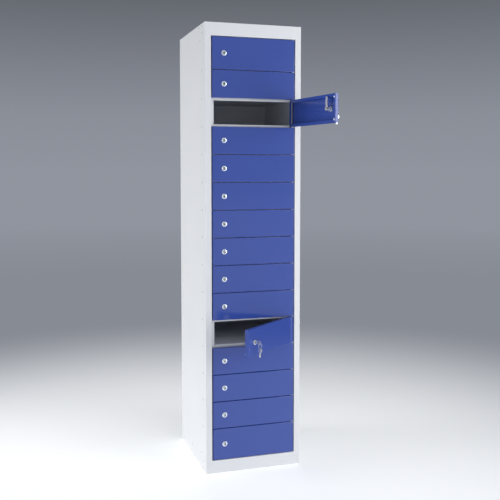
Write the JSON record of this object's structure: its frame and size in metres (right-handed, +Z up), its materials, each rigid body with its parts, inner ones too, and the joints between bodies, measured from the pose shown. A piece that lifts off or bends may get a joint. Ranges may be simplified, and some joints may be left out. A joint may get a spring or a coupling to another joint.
{
  "type": "column locker",
  "caption": "Tall narrow steel locker with a column of small side-hinged doors, each closed by a round key-operated cam lock; two doors stand open.",
  "frame": {"origin": "middle of the cabinet's base, on the floor", "axes": "+Z up, -Y towards someone facing the doors, +X to their right, on the hinge side"},
  "size_m": [0.4488, 0.7752, 1.8],
  "materials": {
    "grey_paint": "light grey powder coat, satin",
    "blue_paint": "deep blue powder coat, semi-gloss",
    "chrome": "polished nickel-chrome plating",
    "zinc_steel": "bright zinc-plated and nickel-plated steel"
  },
  "bodies": {
    "cabinet": {"front_frame": "grey_paint", "side_panel_left": "grey_paint", "side_panel_right": "grey_paint", "back_panel": "grey_paint", "top_panel": "grey_paint", "base_panel": "grey_paint", "hinge_rod": "zinc_steel", "shelf_01": "grey_paint", "shelf_02": "grey_paint", "shelf_03": "grey_paint", "shelf_04": "grey_paint", "shelf_05": "grey_paint", "shelf_06": "grey_paint", "shelf_07": "grey_paint", "shelf_08": "grey_paint", "shelf_09": "grey_paint", "shelf_10": "grey_paint", "shelf_11": "grey_paint", "shelf_12": "grey_paint", "shelf_13": "grey_paint", "shelf_14": "grey_paint", "shelf_15": "grey_paint"},
    "door_01": {"door_01": "blue_paint"},
    "lock_01": {"lock_01": "chrome"},
    "door_02": {"door_02": "blue_paint"},
    "lock_02": {"lock_02": "chrome"},
    "door_03": {"door_03": "blue_paint"},
    "lock_03": {"lock_03": "chrome", "key_03": "zinc_steel"},
    "key_ring_03": {"key_ring_03": "zinc_steel"},
    "spare_key_03": {"spare_key_03": "zinc_steel"},
    "door_04": {"door_04": "blue_paint"},
    "lock_04": {"lock_04": "chrome"},
    "door_05": {"door_05": "blue_paint"},
    "lock_05": {"lock_05": "chrome"},
    "door_06": {"door_06": "blue_paint"},
    "lock_06": {"lock_06": "chrome"},
    "door_07": {"door_07": "blue_paint"},
    "lock_07": {"lock_07": "chrome"},
    "door_08": {"door_08": "blue_paint"},
    "lock_08": {"lock_08": "chrome"},
    "door_09": {"door_09": "blue_paint"},
    "lock_09": {"lock_09": "chrome"},
    "door_10": {"door_10": "blue_paint"},
    "lock_10": {"lock_10": "chrome"},
    "door_11": {"door_11": "blue_paint"},
    "lock_11": {"lock_11": "chrome", "key_11": "zinc_steel"},
    "key_ring_11": {"key_ring_11": "zinc_steel"},
    "spare_key_11": {"spare_key_11": "zinc_steel"},
    "door_12": {"door_12": "blue_paint"},
    "lock_12": {"lock_12": "chrome"},
    "door_13": {"door_13": "blue_paint"},
    "lock_13": {"lock_13": "chrome"},
    "door_14": {"door_14": "blue_paint"},
    "lock_14": {"lock_14": "chrome"},
    "door_15": {"door_15": "blue_paint"},
    "lock_15": {"lock_15": "chrome"}
  },
  "joints": [
    {"name": "door_01_hinge", "type": "hinge", "parent": "cabinet", "child": "door_01", "pos_m": [0.1643, -0.218, 1.68245], "axis": [0, 0, 1], "range_deg": [0, 110]},
    {"name": "lock_01_turn", "type": "hinge", "parent": "door_01", "child": "lock_01", "pos_m": [-0.123, -0.225, 1.68245], "axis": [0, 1, 0], "range_deg": [-90, 0]},
    {"name": "door_02_hinge", "type": "hinge", "parent": "cabinet", "child": "door_02", "pos_m": [0.1643, -0.218, 1.56277], "axis": [0, 0, 1], "range_deg": [0, 110]},
    {"name": "lock_02_turn", "type": "hinge", "parent": "door_02", "child": "lock_02", "pos_m": [-0.123, -0.225, 1.56277], "axis": [0, 1, 0], "range_deg": [-90, 0]},
    {"name": "door_03_hinge", "type": "hinge", "parent": "cabinet", "child": "door_03", "pos_m": [0.1643, -0.218, 1.45231], "axis": [0, 0, 1], "range_deg": [-99, 11]},
    {"name": "lock_03_turn", "type": "hinge", "parent": "door_03", "child": "lock_03", "pos_m": [0.21616, -0.50067, 1.45231], "axis": [-0.9877, -0.1564, 0], "range_deg": [-90, 0]},
    {"name": "key_ring_03_swing", "type": "hinge", "parent": "lock_03", "child": "key_ring_03", "pos_m": [0.23957, -0.49696, 1.45101], "axis": [-0.1564, 0.9877, 0], "range_deg": [-60, 10]},
    {"name": "spare_key_03_swing", "type": "hinge", "parent": "key_ring_03", "child": "spare_key_03", "pos_m": [0.23957, -0.49696, 1.43101], "axis": [-0.1564, 0.9877, 0], "range_deg": [-60, 6]},
    {"name": "door_04_hinge", "type": "hinge", "parent": "cabinet", "child": "door_04", "pos_m": [0.1643, -0.218, 1.34185], "axis": [0, 0, 1], "range_deg": [0, 110]},
    {"name": "lock_04_turn", "type": "hinge", "parent": "door_04", "child": "lock_04", "pos_m": [-0.123, -0.225, 1.34185], "axis": [0, 1, 0], "range_deg": [-90, 0]},
    {"name": "door_05_hinge", "type": "hinge", "parent": "cabinet", "child": "door_05", "pos_m": [0.1643, -0.218, 1.23138], "axis": [0, 0, 1], "range_deg": [0, 110]},
    {"name": "lock_05_turn", "type": "hinge", "parent": "door_05", "child": "lock_05", "pos_m": [-0.123, -0.225, 1.23138], "axis": [0, 1, 0], "range_deg": [-90, 0]},
    {"name": "door_06_hinge", "type": "hinge", "parent": "cabinet", "child": "door_06", "pos_m": [0.1643, -0.218, 1.12092], "axis": [0, 0, 1], "range_deg": [0, 110]},
    {"name": "lock_06_turn", "type": "hinge", "parent": "door_06", "child": "lock_06", "pos_m": [-0.123, -0.225, 1.12092], "axis": [0, 1, 0], "range_deg": [-90, 0]},
    {"name": "door_07_hinge", "type": "hinge", "parent": "cabinet", "child": "door_07", "pos_m": [0.1643, -0.218, 1.01046], "axis": [0, 0, 1], "range_deg": [0, 110]},
    {"name": "lock_07_turn", "type": "hinge", "parent": "door_07", "child": "lock_07", "pos_m": [-0.123, -0.225, 1.01046], "axis": [0, 1, 0], "range_deg": [-90, 0]},
    {"name": "door_08_hinge", "type": "hinge", "parent": "cabinet", "child": "door_08", "pos_m": [0.1643, -0.218, 0.9], "axis": [0, 0, 1], "range_deg": [0, 110]},
    {"name": "lock_08_turn", "type": "hinge", "parent": "door_08", "child": "lock_08", "pos_m": [-0.123, -0.225, 0.9], "axis": [0, 1, 0], "range_deg": [-90, 0]},
    {"name": "door_09_hinge", "type": "hinge", "parent": "cabinet", "child": "door_09", "pos_m": [0.1643, -0.218, 0.78954], "axis": [0, 0, 1], "range_deg": [0, 110]},
    {"name": "lock_09_turn", "type": "hinge", "parent": "door_09", "child": "lock_09", "pos_m": [-0.123, -0.225, 0.78954], "axis": [0, 1, 0], "range_deg": [-90, 0]},
    {"name": "door_10_hinge", "type": "hinge", "parent": "cabinet", "child": "door_10", "pos_m": [0.1643, -0.218, 0.67908], "axis": [0, 0, 1], "range_deg": [0, 110]},
    {"name": "lock_10_turn", "type": "hinge", "parent": "door_10", "child": "lock_10", "pos_m": [-0.123, -0.225, 0.67908], "axis": [0, 1, 0], "range_deg": [-90, 0]},
    {"name": "door_11_hinge", "type": "hinge", "parent": "cabinet", "child": "door_11", "pos_m": [0.1643, -0.218, 0.56861], "axis": [0, 0, 1], "range_deg": [-39.5, 70.5]},
    {"name": "lock_11_turn", "type": "hinge", "parent": "door_11", "child": "lock_11", "pos_m": [-0.05294, -0.40615, 0.56861], "axis": [-0.6361, 0.7716, 0], "range_deg": [-90, 0]},
    {"name": "key_ring_11_swing", "type": "hinge", "parent": "lock_11", "child": "key_ring_11", "pos_m": [-0.03786, -0.42443, 0.56732], "axis": [0.7716, 0.6361, 0], "range_deg": [-60, 10]},
    {"name": "spare_key_11_swing", "type": "hinge", "parent": "key_ring_11", "child": "spare_key_11", "pos_m": [-0.03786, -0.42443, 0.54731], "axis": [0.7716, 0.6361, 0], "range_deg": [-60, 6]},
    {"name": "door_12_hinge", "type": "hinge", "parent": "cabinet", "child": "door_12", "pos_m": [0.1643, -0.218, 0.45815], "axis": [0, 0, 1], "range_deg": [0, 110]},
    {"name": "lock_12_turn", "type": "hinge", "parent": "door_12", "child": "lock_12", "pos_m": [-0.123, -0.225, 0.45815], "axis": [0, 1, 0], "range_deg": [-90, 0]},
    {"name": "door_13_hinge", "type": "hinge", "parent": "cabinet", "child": "door_13", "pos_m": [0.1643, -0.218, 0.34769], "axis": [0, 0, 1], "range_deg": [0, 110]},
    {"name": "lock_13_turn", "type": "hinge", "parent": "door_13", "child": "lock_13", "pos_m": [-0.123, -0.225, 0.34769], "axis": [0, 1, 0], "range_deg": [-90, 0]},
    {"name": "door_14_hinge", "type": "hinge", "parent": "cabinet", "child": "door_14", "pos_m": [0.1643, -0.218, 0.23723], "axis": [0, 0, 1], "range_deg": [0, 110]},
    {"name": "lock_14_turn", "type": "hinge", "parent": "door_14", "child": "lock_14", "pos_m": [-0.123, -0.225, 0.23723], "axis": [0, 1, 0], "range_deg": [-90, 0]},
    {"name": "door_15_hinge", "type": "hinge", "parent": "cabinet", "child": "door_15", "pos_m": [0.1643, -0.218, 0.11755], "axis": [0, 0, 1], "range_deg": [0, 110]},
    {"name": "lock_15_turn", "type": "hinge", "parent": "door_15", "child": "lock_15", "pos_m": [-0.123, -0.225, 0.11755], "axis": [0, 1, 0], "range_deg": [-90, 0]}
  ]
}
